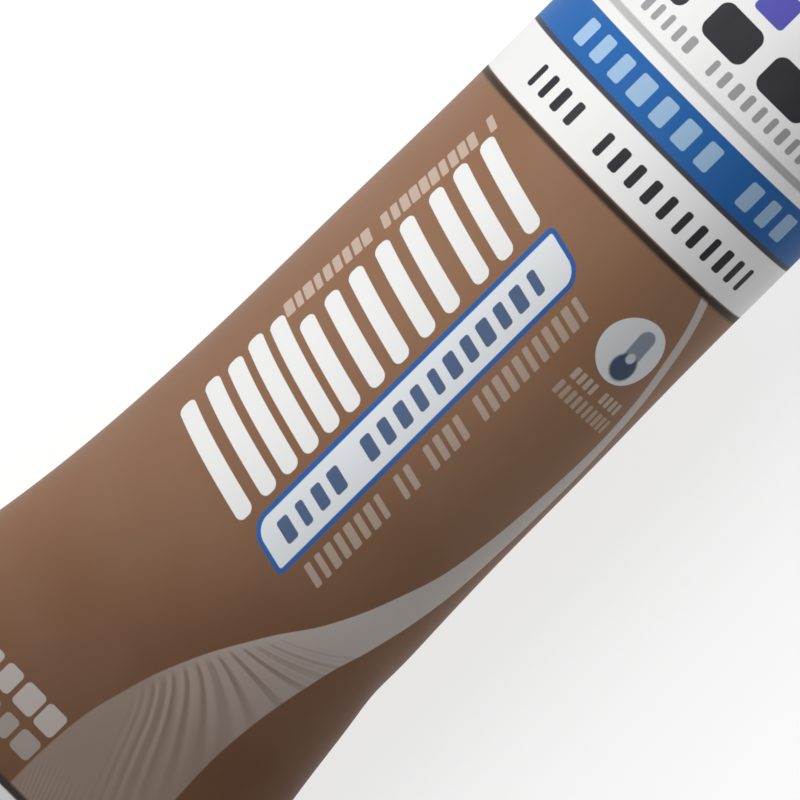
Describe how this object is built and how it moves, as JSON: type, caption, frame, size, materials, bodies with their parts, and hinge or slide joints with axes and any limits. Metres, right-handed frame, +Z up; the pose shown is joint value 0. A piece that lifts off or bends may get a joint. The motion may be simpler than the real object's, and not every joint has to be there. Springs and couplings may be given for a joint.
{
  "type": "caulk tube",
  "caption": "Full laminate squeeze tube of sealant lying on its back, with a flat welded tail, a moulded shoulder, a tapered screw-on nozzle and a push-on tip cap.",
  "frame": {"origin": "on the table, under the middle of the whole length from the welded tail to the tip cap", "axes": "+X along the tube from the welded tail to the nozzle, +Z up through the printed front, +Y across the tube"},
  "size_m": [0.1776, 0.044, 0.028],
  "materials": {
    "printed_laminate": "satin",
    "head_plastic": "satin",
    "foil": "satin",
    "sealant_paste": "wet",
    "nozzle_plastic": "satin",
    "cap_plastic": "satin"
  },
  "bodies": {
    "tube": {"sleeve": "printed_laminate", "head": "head_plastic", "foil_seal": "foil", "sealant": "sealant_paste"},
    "nozzle": {"nozzle": "nozzle_plastic"},
    "tip_cap": {"tip_cap": "cap_plastic"}
  },
  "joints": [
    {"name": "nozzle_unscrew", "type": "slide", "parent": "tube", "child": "nozzle", "axis": [1, 0, 0], "range_m": [0, 0.02]},
    {"name": "tip_cap_pull", "type": "slide", "parent": "nozzle", "child": "tip_cap", "axis": [1, 0, 0], "range_m": [0, 0.016]}
  ]
}
